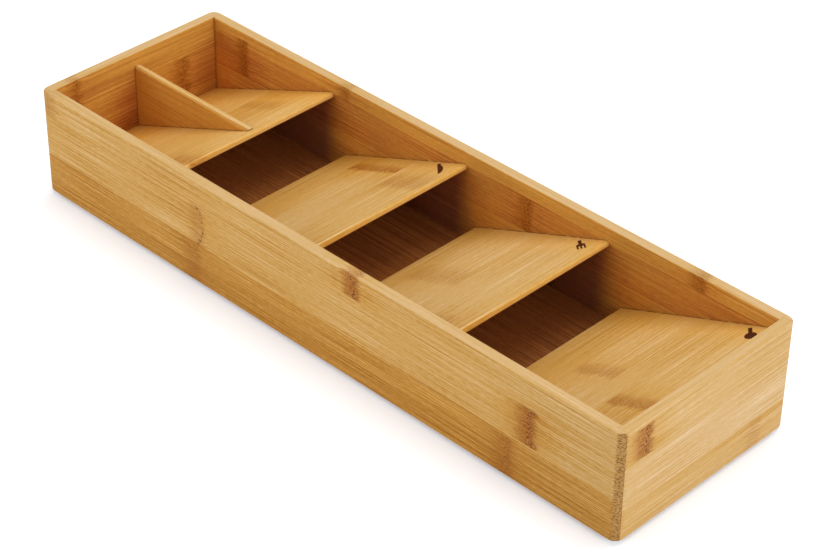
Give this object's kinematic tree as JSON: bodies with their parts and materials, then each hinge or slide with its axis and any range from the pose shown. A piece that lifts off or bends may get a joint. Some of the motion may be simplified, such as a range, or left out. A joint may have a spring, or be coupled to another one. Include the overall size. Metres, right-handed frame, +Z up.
{
  "type": "cutlery tray",
  "caption": "Narrow glued bamboo tray for a drawer, with a divided cell for small items and sloping shelves that stack knives, forks and spoons in overlapping tiers.",
  "frame": {"origin": "on the ground under the middle of the tray, in the plane that the four bumpers tread on", "axes": "+X along the tray, from the small-items cell to the spoons; +Y to the back wall; +Z up, out of the open top"},
  "size_m": [0.395, 0.1194, 0.0625],
  "materials": {
    "wall_bamboo": "satin lacquered bamboo",
    "shelf_bamboo": "satin lacquered bamboo",
    "base_bamboo": "satin lacquered bamboo",
    "divider_bamboo": "satin lacquered bamboo",
    "silicone": "matt grey silicone"
  },
  "bodies": {
    "root": {"front_wall": "wall_bamboo", "back_wall": "wall_bamboo", "left_end_wall": "wall_bamboo", "right_end_wall": "wall_bamboo", "base_panel": "base_bamboo", "small_items_shelf": "shelf_bamboo", "knife_shelf": "shelf_bamboo", "fork_shelf": "shelf_bamboo", "spoon_shelf": "shelf_bamboo", "small_items_divider": "divider_bamboo", "foot_front_left": "silicone", "foot_front_right": "silicone", "foot_back_left": "silicone", "foot_back_right": "silicone"}
  },
  "joints": []
}
